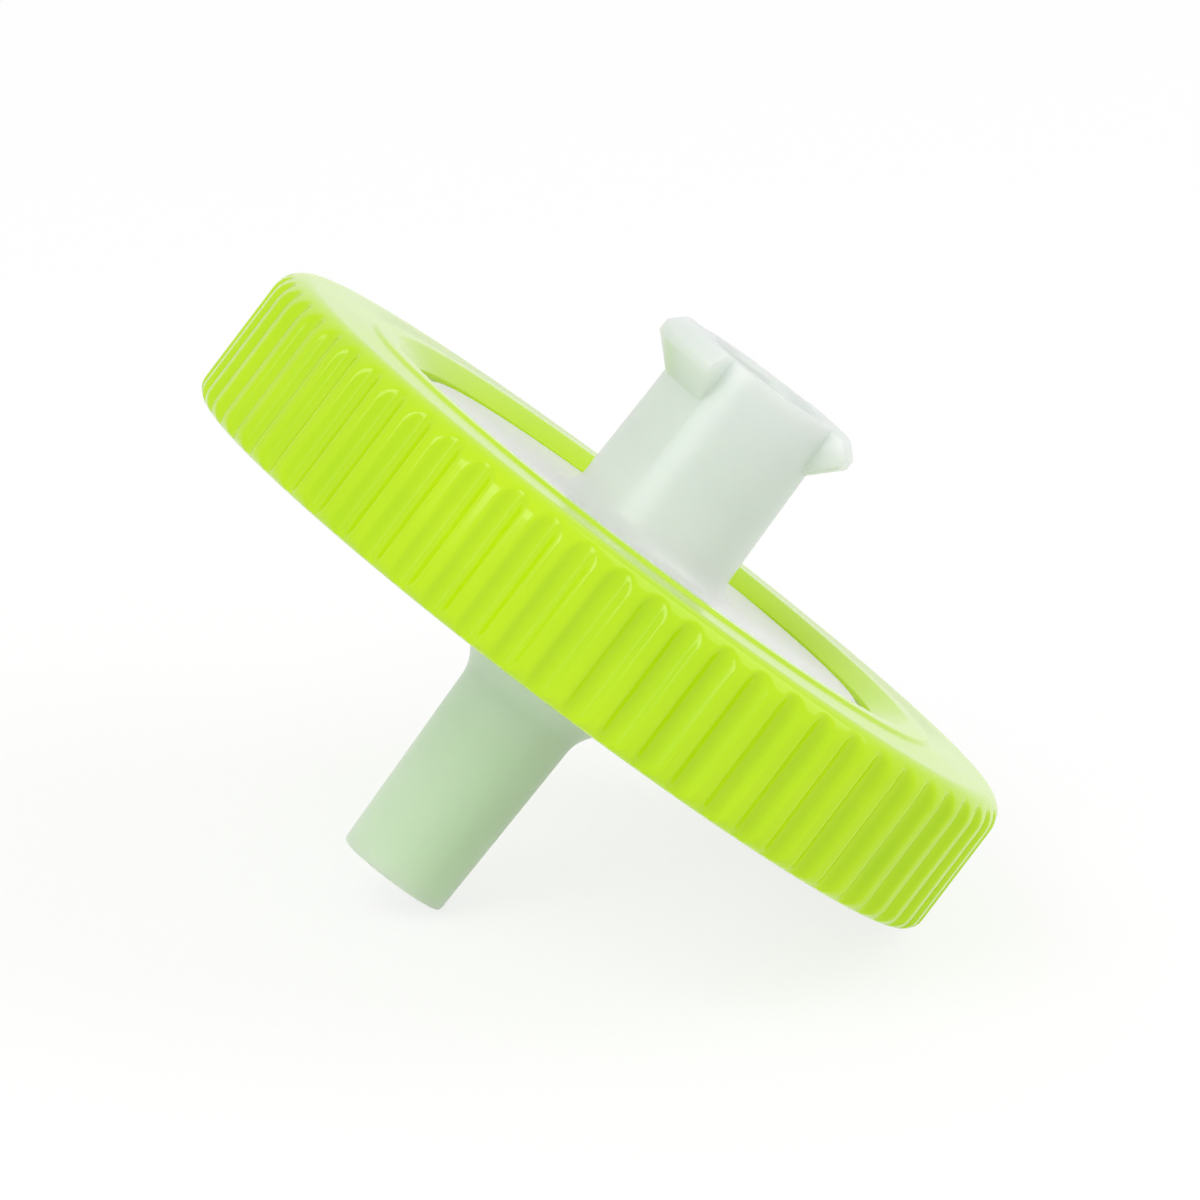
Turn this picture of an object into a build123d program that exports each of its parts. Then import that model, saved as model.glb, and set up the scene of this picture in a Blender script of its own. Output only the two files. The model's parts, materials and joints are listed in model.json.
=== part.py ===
from build123d import *
import os
from math import asin, atan2, cos, hypot, sin

# A 25 mm syringe filter: two welded shells hold a membrane between them, a ribbed
# ring is moulded round their edge, and a luer port stands on each side.
# Sizes are in millimetres. Radii and heights are measured in the filter's own flow
# frame: Z runs along the ports, from the outlet tip to the inlet mouth, and Z = 0 is
# the middle of the membrane.

# ---- membrane
membrane_diameter = 25.0
membrane_thickness = 0.15

# ---- both shells
clamp_width = 0.9           # edge of the membrane that the shells pinch
membrane_gap = 0.1          # round the membrane's edge
weld_land = 1.0             # where the shells meet outside the membrane
plate_thickness = 1.4
pad_height = 0.2            # raised middle of each outer face
pad_slope = 0.15
moat_width = 0.7            # lower ring between that middle and the grip ring's lip

# ---- flow spaces
chamber_depth = 0.6         # over the membrane, on the inlet side
spoke_count = 12
spoke_width = 0.5
spoke_height = 0.4
spoke_margin = 0.6          # left open at each end of a spoke
channel_depth = 0.6         # under the membrane, on the outlet side
support_width = 0.5
support_gap = 0.8
gutter_count = 8
gutter_width = 0.8

# ---- inlet port: a female luer lock
luer_taper = 0.06           # on diameter
socket_mouth = 4.27
socket_depth = 7.5
socket_floor = 1.0
mouth_chamfer = 0.15
orifice_diameter = 2.0
hub_diameter = 5.8          # at the mouth
hub_draft = 0.3             # added to the hub's diameter at its foot
hub_foot_radius = 0.8
lug_span = 7.8              # across the two lugs
lug_arc = 84.0
lug_angle = -7.0            # middle of the first lug, about the flow axis
lug_crest = 0.4
lug_lead = 0.45             # height of the lug's upper flank
lug_root = 1.85             # height of the lug where it leaves the hub

# ---- outlet port: a male luer slip
tip_diameter = 3.98
tip_length = 7.2
tip_edge_radius = 0.15
bore_diameter = 2.1
flare_diameter = 7.2
flare_height = 2.2
flare_blend = 1.2

# ---- grip ring
ring_wall = 1.4             # outside the shells' edge
ring_clearance = 0.02
lip_thickness = 0.725       # over the rim of each shell
lip_edge = 0.2              # thickness left at the opening
opening_diameter = 19.2
bevel_width = 1.1
bead_width = 0.8            # flat crest round the opening
bead_height = 0.12
bead_slope = 0.15
shoulder_radius = 1.0       # inlet edge
heel_radius = 0.6           # outlet edge
rib_count = 64
groove_depth = 0.3
groove_radius = 0.55

# ---- worked out from the above: radii
membrane_radius = membrane_diameter / 2
chamber_radius = membrane_radius - clamp_width
land_radius = membrane_radius + membrane_gap
shell_radius = land_radius + weld_land
ring_radius = shell_radius + ring_wall
opening_radius = opening_diameter / 2
pad_radius = opening_radius - moat_width
bevel_radius = opening_radius + bevel_width
bead_radius = bevel_radius + bead_width
hub_foot_reach = (hub_diameter + hub_draft) / 2
tip_radius = tip_diameter / 2
tip_foot_radius = (tip_diameter + luer_taper * tip_length) / 2

# ---- heights over (inlet) and under (outlet) the middle of the membrane
membrane_face = membrane_thickness / 2
ceiling = membrane_face + chamber_depth
channel_floor = membrane_face + channel_depth
inlet_rim = ceiling + plate_thickness
outlet_rim = channel_floor + plate_thickness
inlet_face = inlet_rim + pad_height
outlet_face = outlet_rim + pad_height
inlet_crest = inlet_rim + lip_thickness
outlet_crest = outlet_rim + lip_thickness
socket_bottom = ceiling + socket_floor
hub_top = socket_bottom + socket_depth
flare_end = outlet_face + flare_height
tip_end = flare_end + tip_length

# ---- the pose: the filter lies on the ring's outlet edge and on the edge of its tip,
# so the floor is the line that touches both rounded corners
heel_reach = ring_radius - heel_radius
heel_drop = outlet_crest - bead_height - heel_radius
tip_reach = tip_radius - tip_edge_radius
tip_drop = tip_end - tip_edge_radius
run = heel_reach - tip_reach
rise = tip_drop - heel_drop
rest_angle = atan2(run, rise) + asin((heel_radius - tip_edge_radius) / hypot(run, rise))
lift = tip_reach * cos(rest_angle) + tip_drop * sin(rest_angle) + tip_edge_radius

# the ring's rounded edges reach furthest each way along the floor
shoulder_reach = ring_radius - shoulder_radius
shoulder_rise = inlet_crest - bead_height - shoulder_radius
ahead = shoulder_reach * sin(rest_angle) + shoulder_rise * cos(rest_angle) + shoulder_radius
behind = heel_reach * sin(rest_angle) + heel_drop * cos(rest_angle) + heel_radius

flow = Plane(
    origin=((behind - ahead) / 2, 0, lift),
    x_dir=(sin(rest_angle), 0, -cos(rest_angle)),
    z_dir=(cos(rest_angle), 0, sin(rest_angle)),
)
flow_axis = Axis(flow.origin, flow.z_dir)


def section(angle=0.0):
    """The half plane that leaves the flow axis at this angle: X is radius, Y is height."""
    outward = flow.x_dir.rotate(Axis((0, 0, 0), flow.z_dir), angle)
    return Plane(origin=flow.origin, x_dir=outward, z_dir=outward.cross(flow.z_dir))


def rim_edges(part, radius):
    """Every full circle of this radius round the flow axis, from outlet to inlet."""
    tolerance = 0.001
    circles = part.edges().filter_by(GeomType.CIRCLE)
    return circles.filter_by(lambda edge: abs(edge.radius - radius) < tolerance).sort_by(flow_axis)


# ---- membrane: a plain disc
with BuildPart() as membrane:
    with BuildSketch(flow.offset(-membrane_face)):
        Circle(membrane_radius)
    extrude(amount=membrane_thickness)

# ---- inlet shell: clamp, weld land, plate, hub and luer socket in one section
with BuildPart() as inlet_shell:
    chamfer_radius = (socket_mouth - luer_taper * mouth_chamfer) / 2
    with BuildSketch(section()):
        with BuildLine():
            Polyline(
                (orifice_diameter / 2, ceiling),
                (chamber_radius, ceiling),
                (chamber_radius, membrane_face),
                (land_radius, membrane_face),
                (land_radius, 0),
                (shell_radius, 0),
                (shell_radius, inlet_rim),
                (pad_radius + pad_slope, inlet_rim),
                (pad_radius, inlet_face),
                (hub_foot_reach, inlet_face),
                (hub_diameter / 2, hub_top),
                (chamfer_radius + mouth_chamfer, hub_top),
                (chamfer_radius, hub_top - mouth_chamfer),
                ((socket_mouth - luer_taper * socket_depth) / 2, socket_bottom),
                (orifice_diameter / 2, socket_bottom),
                close=True,
            )
        make_face()
    revolve(axis=flow_axis)
    fillet(rim_edges(inlet_shell, hub_foot_reach), hub_foot_radius)

    # two lock lugs under the mouth, rooted inside the hub's wall
    lug_seat = (socket_mouth + hub_diameter) / 4
    for side in (0, 180):
        with BuildSketch(section(lug_angle - lug_arc / 2 + side)):
            with BuildLine():
                Polyline(
                    (lug_seat, hub_top),
                    (lug_span / 2 - lug_lead, hub_top),
                    (lug_span / 2, hub_top - lug_lead),
                    (lug_span / 2, hub_top - lug_lead - lug_crest),
                    (hub_diameter / 2, hub_top - lug_root),
                    (lug_seat, hub_top - lug_root),
                    close=True,
                )
            make_face()
        revolve(axis=flow_axis, revolution_arc=lug_arc)

    # spokes on the ceiling spread the flow and stay clear of the membrane
    spoke_start = orifice_diameter / 2 + spoke_margin
    spoke_length = chamber_radius - spoke_margin - spoke_start
    with BuildSketch(flow.offset(ceiling)):
        with PolarLocations(spoke_start + spoke_length / 2, spoke_count):
            Rectangle(spoke_length, spoke_width)
    extrude(amount=-spoke_height)

# ---- outlet shell: clamp, weld land, plate, flare and luer tip in one section
with BuildPart() as outlet_shell:
    with BuildSketch(section()):
        with BuildLine():
            Polyline(
                (bore_diameter / 2, -channel_floor),
                (chamber_radius, -channel_floor),
                (chamber_radius, -membrane_face),
                (land_radius, -membrane_face),
                (land_radius, 0),
                (shell_radius, 0),
                (shell_radius, -outlet_rim),
                (pad_radius + pad_slope, -outlet_rim),
                (pad_radius, -outlet_face),
                (flare_diameter / 2, -outlet_face),
                (tip_foot_radius, -flare_end),
                (tip_radius, -tip_end),
                (bore_diameter / 2, -tip_end),
                close=True,
            )
        make_face()
    revolve(axis=flow_axis)
    fillet(rim_edges(outlet_shell, tip_foot_radius), flare_blend)
    fillet(rim_edges(outlet_shell, tip_radius), tip_edge_radius)

    # rings that carry the membrane, largest first, cut by gutters that lead to the bore
    support_pitch = support_width + support_gap
    support_start = bore_diameter / 2 + support_gap
    support_count = int((chamber_radius - support_start) / support_pitch)
    with BuildSketch(flow.offset(-channel_floor)):
        for index in reversed(range(support_count)):
            inner_radius = support_start + index * support_pitch
            Circle(inner_radius + support_width)
            Circle(inner_radius, mode=Mode.SUBTRACT)
        with PolarLocations(chamber_radius / 2, gutter_count):
            Rectangle(chamber_radius, gutter_width, mode=Mode.SUBTRACT)
    extrude(amount=channel_depth)

# ---- grip ring: a channel that laps over both shells, ribbed all round its outside
with BuildPart() as grip_ring:
    seat_radius = shell_radius + ring_clearance
    with BuildSketch(section()):
        with BuildLine():
            Polyline(
                (seat_radius, inlet_rim),
                (opening_radius, inlet_rim),
                (opening_radius, inlet_rim + lip_edge),
                (bevel_radius, inlet_crest),
                (bead_radius, inlet_crest),
                (bead_radius + bead_slope, inlet_crest - bead_height),
                (ring_radius, inlet_crest - bead_height),
                (ring_radius, bead_height - outlet_crest),
                (bead_radius + bead_slope, bead_height - outlet_crest),
                (bead_radius, -outlet_crest),
                (bevel_radius, -outlet_crest),
                (opening_radius, -outlet_rim - lip_edge),
                (opening_radius, -outlet_rim),
                (seat_radius, -outlet_rim),
                close=True,
            )
        make_face()
    revolve(axis=flow_axis)
    heel_edge, shoulder_edge = rim_edges(grip_ring, ring_radius)
    fillet(shoulder_edge, shoulder_radius)
    fillet(heel_edge, heel_radius)

    # a groove lies lowest, so two ribs share the floor
    with BuildSketch(flow.offset(-outlet_crest)):
        with PolarLocations(ring_radius + groove_radius - groove_depth, rib_count):
            Circle(groove_radius)
    extrude(amount=outlet_crest + inlet_crest, mode=Mode.SUBTRACT)

# ---- one file for each piece
os.makedirs("parts", exist_ok=True)
for name, piece in {
    "inlet_shell": inlet_shell.part,
    "outlet_shell": outlet_shell.part,
    "membrane": membrane.part,
    "grip_ring": grip_ring.part,
}.items():
    piece.label = name
    export_step(piece, f"parts/{name}.step")
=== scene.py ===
import json
import math

import bmesh
import bpy
from mathutils import Matrix, Vector


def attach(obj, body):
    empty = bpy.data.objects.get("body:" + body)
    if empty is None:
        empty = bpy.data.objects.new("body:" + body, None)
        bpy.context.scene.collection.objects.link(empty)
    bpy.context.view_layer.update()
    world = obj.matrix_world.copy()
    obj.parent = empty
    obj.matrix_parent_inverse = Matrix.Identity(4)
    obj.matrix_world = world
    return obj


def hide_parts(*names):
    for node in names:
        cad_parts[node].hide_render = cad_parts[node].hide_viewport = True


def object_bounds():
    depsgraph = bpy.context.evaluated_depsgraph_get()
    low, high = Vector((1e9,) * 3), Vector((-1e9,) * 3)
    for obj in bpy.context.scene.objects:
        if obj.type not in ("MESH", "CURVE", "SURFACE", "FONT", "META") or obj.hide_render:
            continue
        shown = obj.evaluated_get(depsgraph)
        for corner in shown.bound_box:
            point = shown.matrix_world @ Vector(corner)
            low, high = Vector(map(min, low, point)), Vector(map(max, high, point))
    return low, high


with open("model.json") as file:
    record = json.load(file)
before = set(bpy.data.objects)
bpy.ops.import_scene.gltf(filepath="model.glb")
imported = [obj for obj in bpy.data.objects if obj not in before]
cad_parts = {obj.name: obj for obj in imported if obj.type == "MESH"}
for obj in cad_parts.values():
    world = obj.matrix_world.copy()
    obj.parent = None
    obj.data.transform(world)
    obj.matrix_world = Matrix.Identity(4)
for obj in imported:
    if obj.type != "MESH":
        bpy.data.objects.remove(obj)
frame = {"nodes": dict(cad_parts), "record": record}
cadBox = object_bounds()
mm = 0.001

# sizes that several pieces share, in millimetres, with heights from the middle of the membrane
housing = {"membraneFace": 0.075, "flowDepth": 0.6, "plate": 1.4,  # thicknesses, one on the other
           "opening": 9.6, "chamber": 11.6, "pocket": 12.6, "edge": 13.6,  # radii
           "padHeight": 0.2, "padSlope": 0.15, "padRounding": 0.1, "moat": 0.7,  # the plate's raised middle
           "rooted": 0.3,  # how far the spokes and the membrane's rings run into the plate
           "luerSlope": 0.03}  # a luer cone narrows by 6 percent, half of that on the radius
socket = {"mouth": 2.135, "orifice": 1.0,  # radii
          "depth": 7.5, "floor": 1.0, "chamfer": 0.15}
ceiling = housing["membraneFace"] + housing["flowDepth"]
rim = ceiling + housing["plate"]
face = rim + housing["padHeight"]
hubTop = ceiling + socket["floor"] + socket["depth"]

# The filter lies tipped on its ring and its outlet tip. Every piece is made upright, in millimetres, with
# its flow axis along Z and the membrane at Z = 0, and is then laid down with this matrix.
mounts = {mount["name"]: mount for mount in frame["record"]["mounts"]}
mouth = Vector(mounts["inlet_luer_lock"]["pos_m"])
flowAxis = Vector(mounts["inlet_luer_lock"]["axis"]).normalized()
downhill = Vector((flowAxis.z, 0, -flowAxis.x))
flowFrame = Matrix((downhill, (0, 1, 0), flowAxis)).transposed().to_4x4()
membraneMiddle = mouth - flowAxis * hubTop * mm
layDown = Matrix.Translation(membraneMiddle) @ flowFrame @ Matrix.Scale(mm, 4)


def linearColour(hexCode):
    channels = [int(hexCode[i:i + 2], 16) / 255 for i in (0, 2, 4)]
    return [c / 12.92 if c <= 0.04045 else ((c + 0.055) / 1.055) ** 2.4 for c in channels] + [1.0]


def addNode(tree, kind, settings=None, inputs=None):
    node = tree.nodes.new(kind)
    for name, value in (settings or {}).items():
        setattr(node, name, value)
    for name, value in (inputs or {}).items():  # a socket is linked, and anything else is set
        if isinstance(value, bpy.types.NodeSocket):
            tree.links.new(value, node.inputs[name])
        else:
            node.inputs[name].default_value = value
    return node


def newMaterial(name):
    material = bpy.data.materials.new(name)
    material.use_nodes = True
    material.node_tree.nodes.clear()
    return material, material.node_tree


def newObject(name, bm):
    mesh = bpy.data.meshes.new(name)
    bm.to_mesh(mesh)
    bm.free()
    made = bpy.data.objects.new(name, mesh)
    bpy.context.scene.collection.objects.link(made)
    return made


def meshOf(source):  # a text or a solid with its modifiers applied
    return bpy.data.meshes.new_from_object(source.evaluated_get(bpy.context.evaluated_depsgraph_get()))


def turn(bm, verts, degrees):  # round the flow axis
    bmesh.ops.rotate(bm, verts=verts, cent=(0, 0, 0), matrix=Matrix.Rotation(math.radians(degrees), 3, "Z"))


def joinSolids(bm, *extras):  # closed solids that overlap become one closed mesh
    base, *others = [newObject("solid", solid) for solid in (bm, *extras)]
    for other in others:
        union = base.modifiers.new("union", "BOOLEAN")
        union.operation = "UNION"
        union.solver = "EXACT"
        union.object = other
    joined = bmesh.new()
    joined.from_mesh(meshOf(base))
    for old in (base, *others):
        bpy.data.objects.remove(old)
    return joined


def finishPiece(name, bm, material, node, smoothAngle=38):
    bm.transform(layDown)
    piece = newObject(name, bm)
    mesh = piece.data
    mesh.polygons.foreach_set("use_smooth", [True] * len(mesh.polygons))
    mesh.set_sharp_from_angle(angle=math.radians(smoothAngle))
    mesh.materials.append(material)
    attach(piece, "root")
    if node:
        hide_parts(node)
    print(name, "has", sum(len(p.vertices) - 2 for p in mesh.polygons), "triangles")


def sectionLoop(bm, corners, segmentsPerMm=10):  # each corner is (radius, height, rounding)
    made = [bm.verts.new((radius, 0, height)) for radius, height, rounding in corners]
    for here, after in zip(made, made[1:] + made[:1]):
        bm.edges.new((here, after))
    for index, (vert, (radius, height, rounding)) in enumerate(zip(made, corners)):
        if rounding:
            before, after = corners[index - 1], corners[(index + 1) % len(corners)]
            toBefore = Vector((before[0] - radius, before[1] - height))
            toAfter = Vector((after[0] - radius, after[1] - height))
            reach = rounding / math.tan(toBefore.angle(toAfter) / 2)  # how far back the arc starts
            segments = max(2, round(rounding * segmentsPerMm))
            bmesh.ops.bevel(bm, geom=[vert], offset=reach, segments=segments, profile=0.5, affect="VERTICES",
                            material=-1)


def spinRound(bm, steps, degrees=360, start=0):
    turn(bm, bm.verts[:], start)
    bmesh.ops.spin(bm, geom=bm.verts[:] + bm.edges[:], cent=(0, 0, 0), axis=(0, 0, 1),
                   angle=math.radians(degrees), steps=steps, use_merge=degrees == 360)
    if degrees != 360:
        bmesh.ops.holes_fill(bm, edges=[e for e in bm.edges if e.is_boundary], sides=0)
    bmesh.ops.recalc_face_normals(bm, faces=bm.faces[:])


def otherSide(corners):
    return [(radius, -height, rounding) for radius, height, rounding in corners]


bumpStrength = 0.3


def mouldedSurface(tree, finish):  # slow flow lines change the gloss, over a slight ripple of the mould
    place = addNode(tree, "ShaderNodeTexCoord").outputs["Object"]
    flowLines = addNode(tree, "ShaderNodeTexNoise", {}, {
        "Vector": place, "Scale": 1 / (finish["flow"] * mm), "Detail": finish["flowDetail"]}).outputs["Fac"]
    glossiest, dullest = finish["roughness"]
    sheen = addNode(tree, "ShaderNodeMapRange", {}, {
        "Value": flowLines, "To Min": glossiest, "To Max": dullest})
    ripple = addNode(tree, "ShaderNodeTexNoise", {}, {
        "Vector": place, "Scale": 1 / (finish["ripple"] * mm), "Detail": 1.0})
    texture = addNode(tree, "ShaderNodeBump", {}, {
        "Height": ripple.outputs["Fac"], "Strength": bumpStrength, "Distance": finish["rippleDepth"] * mm})
    return place, flowLines, sheen.outputs["Result"], texture.outputs["Normal"]


polypropyleneIor = 1.49  # the same plastic in both colours

# natural polypropylene, injection moulded: milky and a little clear. Its colour by height is painted light: a
# painted green
# # glow from the ring's lime at the outlet tip, painted brightness on the plate over the membrane, painted
# shade in the hollow hub
polypropylene = {"paintedLightTones": {-6.0: "DBF4D2", -3.2: "E3F6DC", -1.8: "F2F9EF",  # a painted light colour for each height
                           2.3: "F6FEF2", 5.0: "EAF2EC", 9.2: "E9EFEC"},
                 "thick": "F3F8F5", "flow": 6.0, "flowDetail": 3.0, "roughness": (0.25, 0.35), "haze": 0.20,
                 "ripple": 1.6, "rippleDepth": 0.02,
                 "spread": 2.0, "spreadShares": (1.0, 1.1, 0.95)}  # of red, green and blue
naturalPolypropylene, tree = newMaterial("naturalPolypropyleneMoulded")
place, flowLines, sheen, texture = mouldedSurface(tree, polypropylene)
upTheAxis = addNode(tree, "ShaderNodeVectorMath", {"operation": "DOT_PRODUCT"}, {0: place, 1: flowAxis})
lowest, *between, highest = polypropylene["paintedLightTones"]
membraneAt = membraneMiddle.dot(flowAxis)
# painted light: the colour is set by height along the flow axis, green at the tip, whitest on the plate,
# greyer up the hub
height = addNode(tree, "ShaderNodeMapRange", {}, {
    "Value": upTheAxis.outputs["Value"], "From Min": membraneAt + lowest * mm,
    "From Max": membraneAt + highest * mm})
paintedLightTones = addNode(tree, "ShaderNodeValToRGB", {}, {"Fac": height.outputs["Result"]})
for toneHeight in between:
    paintedLightTones.color_ramp.elements.new((toneHeight - lowest) / (highest - lowest))
for element, hexCode in zip(paintedLightTones.color_ramp.elements, polypropylene["paintedLightTones"].values()):
    element.color = linearColour(hexCode)
milkOverPaintedLight = addNode(tree, "ShaderNodeMix", {"data_type": "RGBA", "blend_type": "MULTIPLY"}, {
    "Factor": flowLines, "A": paintedLightTones.outputs["Color"], "B": linearColour(polypropylene["thick"])})
plastic = addNode(tree, "ShaderNodeBsdfPrincipled", {"subsurface_method": "RANDOM_WALK"}, {
    "Base Color": milkOverPaintedLight.outputs["Result"], "Roughness": sheen, "Normal": texture, "IOR": polypropyleneIor,
    "Transmission Weight": polypropylene["haze"], "Subsurface Weight": 1.0,
    "Subsurface Radius": polypropylene["spreadShares"], "Subsurface Scale": polypropylene["spread"] * mm})
addNode(tree, "ShaderNodeOutputMaterial", {}, {"Surface": plastic.outputs["BSDF"]})

# lime polypropylene, injection moulded: pigmented, so light hardly enters it, and softly glossy on the ribs
lime = {"body": "C3E40A", "deep": "ADD804", "flow": 5.0, "flowDetail": 2.0, "roughness": (0.12, 0.20),
        "gloss": 0.35, "ripple": 1.2, "rippleDepth": 0.015,
        "glow": 0.15, "spread": 0.4, "spreadShares": (0.8, 1.0, 0.15)}  # of red, green and blue
limePolypropylene, tree = newMaterial("limePolypropyleneMoulded")
place, flowLines, sheen, texture = mouldedSurface(tree, lime)
dye = addNode(tree, "ShaderNodeMix", {"data_type": "RGBA"}, {
    "Factor": flowLines, "A": linearColour(lime["deep"]), "B": linearColour(lime["body"])})
plastic = addNode(tree, "ShaderNodeBsdfPrincipled", {"subsurface_method": "RANDOM_WALK"}, {
    "Base Color": dye.outputs["Result"], "Roughness": sheen, "Normal": texture, "IOR": polypropyleneIor,
    "Specular IOR Level": lime["gloss"], "Subsurface Weight": lime["glow"],
    "Subsurface Radius": lime["spreadShares"], "Subsurface Scale": lime["spread"] * mm})
addNode(tree, "ShaderNodeOutputMaterial", {}, {"Surface": plastic.outputs["BSDF"]})

# cellulose ester membrane, cast: dead matt and paper white, its fine grain drawn coarser than the pores
cellulose = {"colour": "F5F5F2", "roughness": 0.9, "grain": 0.08, "grainDepth": 0.01}
membranePaper, tree = newMaterial("celluloseEsterMembraneCast")
place = addNode(tree, "ShaderNodeTexCoord").outputs["Object"]
pores = addNode(tree, "ShaderNodeTexNoise", {}, {
    "Vector": place, "Scale": 1 / (cellulose["grain"] * mm), "Detail": 4.0})
poreBump = addNode(tree, "ShaderNodeBump", {}, {
    "Height": pores.outputs["Fac"], "Strength": bumpStrength, "Distance": cellulose["grainDepth"] * mm})
paper = addNode(tree, "ShaderNodeBsdfPrincipled", {}, {
    "Base Color": linearColour(cellulose["colour"]), "Roughness": cellulose["roughness"],
    "Normal": poreBump.outputs["Normal"]})
addNode(tree, "ShaderNodeOutputMaterial", {}, {"Surface": paper.outputs["BSDF"]})
frame["nodes"]["membrane"].data.materials.clear()
frame["nodes"]["membrane"].data.materials.append(membranePaper)

# pad printing ink: a thin dark film, satin, a little uneven where the pad left less
inkFilm = {"full": "2A2C2B", "sparse": "454846", "grain": 0.25, "roughness": 0.5}
printInk, tree = newMaterial("padPrintingInk")
place = addNode(tree, "ShaderNodeTexCoord").outputs["Object"]
cover = addNode(tree, "ShaderNodeTexNoise", {}, {
    "Vector": place, "Scale": 1 / (inkFilm["grain"] * mm), "Detail": 3.0})
inkTone = addNode(tree, "ShaderNodeMix", {"data_type": "RGBA"}, {
    "Factor": cover.outputs["Fac"], "A": linearColour(inkFilm["full"]), "B": linearColour(inkFilm["sparse"])})
ink = addNode(tree, "ShaderNodeBsdfPrincipled", {}, {
    "Base Color": inkTone.outputs["Result"], "Roughness": inkFilm["roughness"]})
addNode(tree, "ShaderNodeOutputMaterial", {}, {"Surface": ink.outputs["BSDF"]})
print("materials made")

# grip ring: a channel that laps over both shells, with a scalloped groove between each two ribs
ring = {"wall": 1.4, "clearance": 0.02,
        "lip": 0.725, "lipEdge": 0.2, "lipRounding": 0.05, "bevel": 1.1, "bevelRounding": 0.25,
        "beadWidth": 0.8, "beadSlope": 0.15, "beadHeight": 0.12, "beadRounding": 0.1,
        "shoulder": 1.0, "heel": 0.6,  # the outer edge's roundings, inlet side and outlet side
        "ribs": 64, "stepsPerRib": 14, "grooveRadius": 0.55, "grooveDepth": 0.3}
ringRadius = housing["edge"] + ring["wall"]
crest = rim + ring["lip"]
bevelTop = housing["opening"] + ring["bevel"]
beadEdge = bevelTop + ring["beadWidth"]
beadFoot = crest - ring["beadHeight"]
halfSection = [(housing["edge"] + ring["clearance"], rim, 0), (housing["opening"], rim, 0),
               (housing["opening"], rim + ring["lipEdge"], ring["lipRounding"]),
               (bevelTop, crest, ring["bevelRounding"]), (beadEdge, crest, ring["beadRounding"]),
               (beadEdge + ring["beadSlope"], beadFoot, ring["beadRounding"])]
inletHalf = [*halfSection, (ringRadius, beadFoot, ring["shoulder"])]
outletHalf = otherSide([*halfSection, (ringRadius, beadFoot, ring["heel"])])
bm = bmesh.new()
sectionLoop(bm, inletHalf + outletHalf[::-1])
pitch = math.tau / ring["ribs"]
bmesh.ops.spin(bm, geom=bm.verts[:] + bm.edges[:], cent=(0, 0, 0), axis=(0, 0, 1), angle=pitch,
               steps=ring["stepsPerRib"], use_merge=False)
ribsMade = 1
while ribsMade < ring["ribs"]:  # each pass doubles them, so their number is a power of two
    copied = bmesh.ops.duplicate(bm, geom=bm.verts[:] + bm.edges[:] + bm.faces[:])["geom"]
    turn(bm, [g for g in copied if isinstance(g, bmesh.types.BMVert)], math.degrees(ribsMade * pitch))
    ribsMade *= 2
bmesh.ops.remove_doubles(bm, verts=bm.verts[:], dist=0.001)
bmesh.ops.recalc_face_normals(bm, faces=bm.faces[:])
grooveCentre = ringRadius + ring["grooveRadius"] - ring["grooveDepth"]
for vert in bm.verts:  # pushed in to the floor of the nearest groove, where that is deeper
    radius = math.hypot(vert.co.x, vert.co.y)
    fromGroove = (math.atan2(vert.co.y, vert.co.x) + pitch / 2) % pitch - pitch / 2
    across = grooveCentre * math.sin(fromGroove)
    if abs(across) < ring["grooveRadius"]:
        grooveFloor = grooveCentre * math.cos(fromGroove) - math.sqrt(ring["grooveRadius"] ** 2 - across ** 2)
        if grooveFloor < radius:
            vert.co.x *= grooveFloor / radius
            vert.co.y *= grooveFloor / radius
finishPiece("gripRing", bm, limePolypropylene, "grip_ring", smoothAngle=50)

# both shells' plates: ceiling, membrane seat, weld land, rim and the raised middle of the outer face
padRadius = housing["opening"] - housing["moat"]
plate = [(housing["chamber"], ceiling, 0), (housing["chamber"], housing["membraneFace"], 0),
         (housing["pocket"], housing["membraneFace"], 0), (housing["pocket"], 0, 0), (housing["edge"], 0, 0),
         (housing["edge"], rim, 0), (padRadius + housing["padSlope"], rim, 0),
         (padRadius, face, housing["padRounding"])]

# inlet shell: plate, hub and tapered socket in one section, two lock lugs, and the flow spokes sealed inside
inlet = {"steps": 192, "hub": 2.9, "draft": 0.15, "footFillet": 0.8, "rimRounding": 0.1,
         "mouthRounding": 0.05, "floorFillet": 0.2, "orificeRounding": 0.08}
lugs = {"span": 7.8, "arc": 84, "middle": -7, "steps": 28,  # the arc and its middle are in degrees
        "lead": 0.45, "crest": 0.4, "root": 1.85, "sunk": 0.01, "rounding": 0.12, "edge": 0.09}
spokes = {"count": 12, "margin": 0.6, "width": 0.5, "height": 0.4}
chamferRadius = socket["mouth"] - housing["luerSlope"] * socket["chamfer"]
floorRadius = socket["mouth"] - housing["luerSlope"] * socket["depth"]
socketFloor = hubTop - socket["depth"]
hub = [(inlet["hub"] + inlet["draft"], face, inlet["footFillet"]),
       (inlet["hub"], hubTop, inlet["rimRounding"]),
       (chamferRadius + socket["chamfer"], hubTop, inlet["mouthRounding"]),
       (chamferRadius, hubTop - socket["chamfer"], inlet["mouthRounding"]),
       (floorRadius, socketFloor, inlet["floorFillet"]),
       (socket["orifice"], socketFloor, inlet["orificeRounding"])]
bm = bmesh.new()
sectionLoop(bm, [(socket["orifice"], ceiling, 0), *plate, *hub])
spinRound(bm, inlet["steps"])

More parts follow.
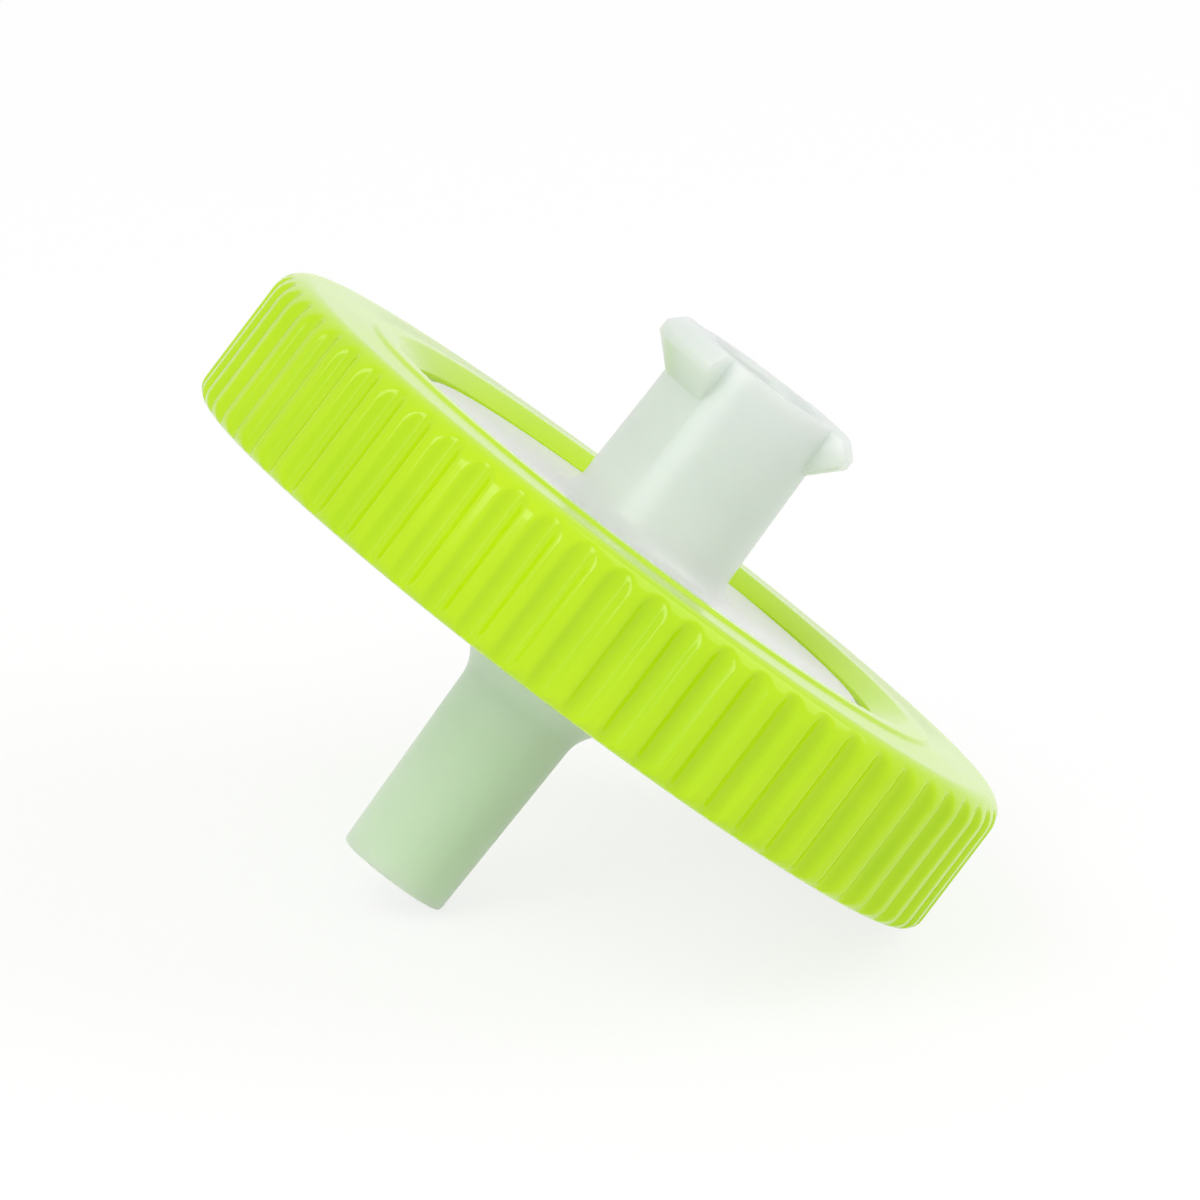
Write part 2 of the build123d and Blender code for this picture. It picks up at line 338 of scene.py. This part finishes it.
lugSeat = (socket["mouth"] + inlet["hub"]) / 2  # in the middle of the hub's wall
lugTop = hubTop - lugs["sunk"]
lugReach = lugs["span"] / 2
lugSection = [(lugSeat, lugTop, 0), (lugReach - lugs["lead"], lugTop, lugs["rounding"]),
              (lugReach, hubTop - lugs["lead"], lugs["rounding"]),
              (lugReach, hubTop - lugs["lead"] - lugs["crest"], lugs["rounding"]),
              (inlet["hub"], hubTop - lugs["root"], 0), (lugSeat, hubTop - lugs["root"], 0)]
extras = []
for side in (0, 180):
    lug = bmesh.new()
    sectionLoop(lug, lugSection)
    spinRound(lug, lugs["steps"], lugs["arc"], lugs["middle"] - lugs["arc"] / 2 + side)
    ends = [e for e in lug.edges if any(len(f.verts) > 4 for f in e.link_faces)]  # all other faces have four
    bmesh.ops.bevel(lug, geom=ends, offset=lugs["edge"], segments=2, profile=0.5, affect="EDGES",
                    material=-1)
    extras.append(lug)

spokeStart = socket["orifice"] + spokes["margin"]
spokeLength = housing["chamber"] - spokes["margin"] - spokeStart
spokeDepth = spokes["height"] + housing["rooted"]
spokeMiddle = (spokeStart + spokeLength / 2, 0, ceiling - spokes["height"] + spokeDepth / 2)
spokeRing = bmesh.new()
for index in range(spokes["count"]):
    made = bmesh.ops.create_cube(spokeRing, size=1)["verts"]
    bmesh.ops.scale(spokeRing, verts=made, vec=(spokeLength, spokes["width"], spokeDepth))
    bmesh.ops.translate(spokeRing, verts=made, vec=spokeMiddle)
    turn(spokeRing, made, index * 360 / spokes["count"])
extras.append(spokeRing)
inletSolid = joinSolids(bm, *extras)
finishPiece("inletShell", inletSolid, naturalPolypropylene, "inlet_shell")

# outlet shell: plate, flare and tapered tip in one section, and inside it the rings that carry the membrane
outlet = {"steps": 192, "bore": 1.05, "flare": 3.6, "tip": 1.99,  # radii
          "flareHeight": 2.2, "tipLength": 7.2,
          "flareRounding": 0.15, "flareFillet": 1.2, "tipRounding": 0.15, "boreRounding": 0.06}
supports = {"rings": 7, "gap": 0.8, "width": 0.5, "gutters": 8, "gutterWidth": 0.8, "stepsPerArc": 6}
flareEnd = -face - outlet["flareHeight"]
tipEnd = flareEnd - outlet["tipLength"]
tipFoot = outlet["tip"] + housing["luerSlope"] * outlet["tipLength"]
tip = [(outlet["flare"], -face, outlet["flareRounding"]), (tipFoot, flareEnd, outlet["flareFillet"]),
       (outlet["tip"], tipEnd, outlet["tipRounding"]), (outlet["bore"], tipEnd, outlet["boreRounding"])]
bm = bmesh.new()
sectionLoop(bm, [(outlet["bore"], -ceiling, 0), *otherSide(plate), *tip])
spinRound(bm, outlet["steps"])
carriers = bmesh.new()
supportTop = -housing["membraneFace"]
supportBottom = -ceiling - housing["rooted"]
sector = 360 / supports["gutters"]
for index in range(supports["rings"]):
    inside = outlet["bore"] + supports["gap"] + index * (supports["width"] + supports["gap"])
    outside = inside + supports["width"]
    halfGutter = math.degrees(math.asin(supports["gutterWidth"] / (inside + outside)))
    for gutter in range(supports["gutters"]):
        arc = bmesh.new()
        sectionLoop(arc, [(inside, supportBottom, 0), (outside, supportBottom, 0), (outside, supportTop, 0),
                          (inside, supportTop, 0)])
        spinRound(arc, supports["stepsPerArc"], sector - 2 * halfGutter, gutter * sector + halfGutter)
        arcMesh = bpy.data.meshes.new("arc")
        arc.to_mesh(arcMesh)
        arc.free()
        carriers.from_mesh(arcMesh)
        bpy.data.meshes.remove(arcMesh)
outletSolid = joinSolids(bm, carriers)
finishPiece("outletShell", outletSolid, naturalPolypropylene, "outlet_shell")

# the marking: plain sizes in ink on the inlet's face, bent to a shallow arc beside the port
marking = {"words": "25 mm  0.45 µm", "width": 12.3, "bend": 24.0, "film": 0.012,
           "fromAxis": 6.2, "turned": -118}
curve = bpy.data.curves.new("marking", "FONT")
curve.body = marking["words"]
curve.align_x = "CENTER"
curve.align_y = "CENTER"
text = bpy.data.objects.new("marking", curve)
bpy.context.scene.collection.objects.link(text)
bpy.context.view_layer.update()
bm = bmesh.new()
bm.from_mesh(meshOf(text))
bpy.data.objects.remove(text)
low = min(v.co.x for v in bm.verts)
high = max(v.co.x for v in bm.verts)
sizedUp = marking["width"] / (high - low)
bmesh.ops.translate(bm, verts=bm.verts[:], vec=(-(low + high) / 2, 0, 0))
bmesh.ops.scale(bm, verts=bm.verts[:], vec=(sizedUp, sizedUp, 1))
for vert in bm.verts:
    along = vert.co.x / marking["bend"]
    reach = marking["bend"] - vert.co.y
    vert.co = Vector((reach * math.sin(along), marking["bend"] - reach * math.cos(along), 0))
bmesh.ops.solidify(bm, geom=bm.faces[:], thickness=marking["film"])
bmesh.ops.recalc_face_normals(bm, faces=bm.faces[:])
turn(bm, bm.verts[:], 90)  # its top towards the axis
bmesh.ops.translate(bm, verts=bm.verts[:], vec=(marking["fromAxis"], 0, face + marking["film"]))
turn(bm, bm.verts[:], marking["turned"])
finishPiece("sizeMarking", bm, printInk, None)
print("pieces made")

# floor and world: white where they are seen, reflected or shine through, and plain light for the rest
backdrop = {"floorSize": 3.0, "floorDrop": 0.01,  # the size in metres, the drop in millimetres
            "floorColour": "FAFAFA", "floorWhite": 0.80, "roomLight": 0.71}
bm = bmesh.new()
bmesh.ops.create_grid(bm, x_segments=1, y_segments=1, size=backdrop["floorSize"])
bmesh.ops.translate(bm, verts=bm.verts[:], vec=(0, 0, -backdrop["floorDrop"] * mm))
floor = newObject("floor", bm)


def seenDirectly(tree):  # 1 for camera, glossy and transmission rays
    rays = addNode(tree, "ShaderNodeLightPath")
    first = addNode(tree, "ShaderNodeMath", {"operation": "MAXIMUM"}, {
        0: rays.outputs["Is Camera Ray"], 1: rays.outputs["Is Glossy Ray"]})
    second = addNode(tree, "ShaderNodeMath", {"operation": "MAXIMUM"}, {
        0: first.outputs["Value"], 1: rays.outputs["Is Transmission Ray"]})
    return second.outputs["Value"]


paleFloor, tree = newMaterial("paleMattFloor")
matt = addNode(tree, "ShaderNodeBsdfDiffuse", {}, {"Color": linearColour(backdrop["floorColour"])})
white = addNode(tree, "ShaderNodeEmission", {}, {"Color": (1, 1, 1, 1), "Strength": 1.0})
share = addNode(tree, "ShaderNodeMath", {"operation": "MULTIPLY"}, {
    0: seenDirectly(tree), 1: backdrop["floorWhite"]})
either = addNode(tree, "ShaderNodeMixShader", {}, {
    0: share.outputs["Value"], 1: matt.outputs["BSDF"], 2: white.outputs["Emission"]})
addNode(tree, "ShaderNodeOutputMaterial", {}, {"Surface": either.outputs["Shader"]})
floor.data.materials.append(paleFloor)

world = bpy.data.worlds.new("studio")
bpy.context.scene.world = world
world.use_nodes = True
tree = world.node_tree
tree.nodes.clear()
room = addNode(tree, "ShaderNodeBackground", {}, {"Color": (1, 1, 1, 1), "Strength": backdrop["roomLight"]})
white = addNode(tree, "ShaderNodeBackground", {}, {"Color": (1, 1, 1, 1), "Strength": 1.0})
either = addNode(tree, "ShaderNodeMixShader", {}, {
    0: seenDirectly(tree), 1: room.outputs["Background"], 2: white.outputs["Background"]})
addNode(tree, "ShaderNodeOutputWorld", {}, {"Surface": either.outputs["Shader"]})

# a key from the left, which brings out the ribs, and a softer fill from the right, placed in metres
lamps = {"keyLamp": {"at": (-0.21, -0.15, 0.27), "size": 0.20, "watts": 0.47},
         "fillLamp": {"at": (0.24, -0.06, 0.20), "size": 0.26, "watts": 0.30}}
middle = (cadBox[0] + cadBox[1]) / 2
for name, lamp in lamps.items():
    data = bpy.data.lights.new(name, "AREA")
    data.shape = "SQUARE"
    data.size = lamp["size"]
    data.energy = lamp["watts"]
    light = bpy.data.objects.new(name, data)
    light.location = Vector(lamp["at"])
    light.rotation_euler = (middle - light.location).to_track_quat("-Z", "Y").to_euler()
    bpy.context.scene.collection.objects.link(light)

# the camera looks from the left and a little above, turned slightly about its own axis
lens = {"azimuth": -21.2, "elevation": 20.0, "roll": 4.5,
        "distance": 0.66, "frameWidth": 40 * mm, "sensor": 36.0, "clip": (0.01, 10.0)}
azimuth = math.radians(lens["azimuth"])
elevation = math.radians(lens["elevation"])
back = Vector((math.sin(azimuth) * math.cos(elevation), -math.cos(azimuth) * math.cos(elevation),
               math.sin(elevation)))
roll = Matrix.Rotation(math.radians(lens["roll"]), 3, "Z").to_quaternion()
cameraData = bpy.data.cameras.new("camera")
cameraData.sensor_width = lens["sensor"]
cameraData.lens = lens["sensor"] * lens["distance"] / lens["frameWidth"]
cameraData.clip_start, cameraData.clip_end = lens["clip"]
camera = bpy.data.objects.new("camera", cameraData)
bpy.context.scene.collection.objects.link(camera)
camera.location = middle + back * lens["distance"]
camera.rotation_mode = "QUATERNION"
camera.rotation_quaternion = (-back).to_track_quat("-Z", "Y") @ roll
bpy.context.scene.camera = camera
bpy.context.scene.view_settings.view_transform = "Standard"

print("scene ready")
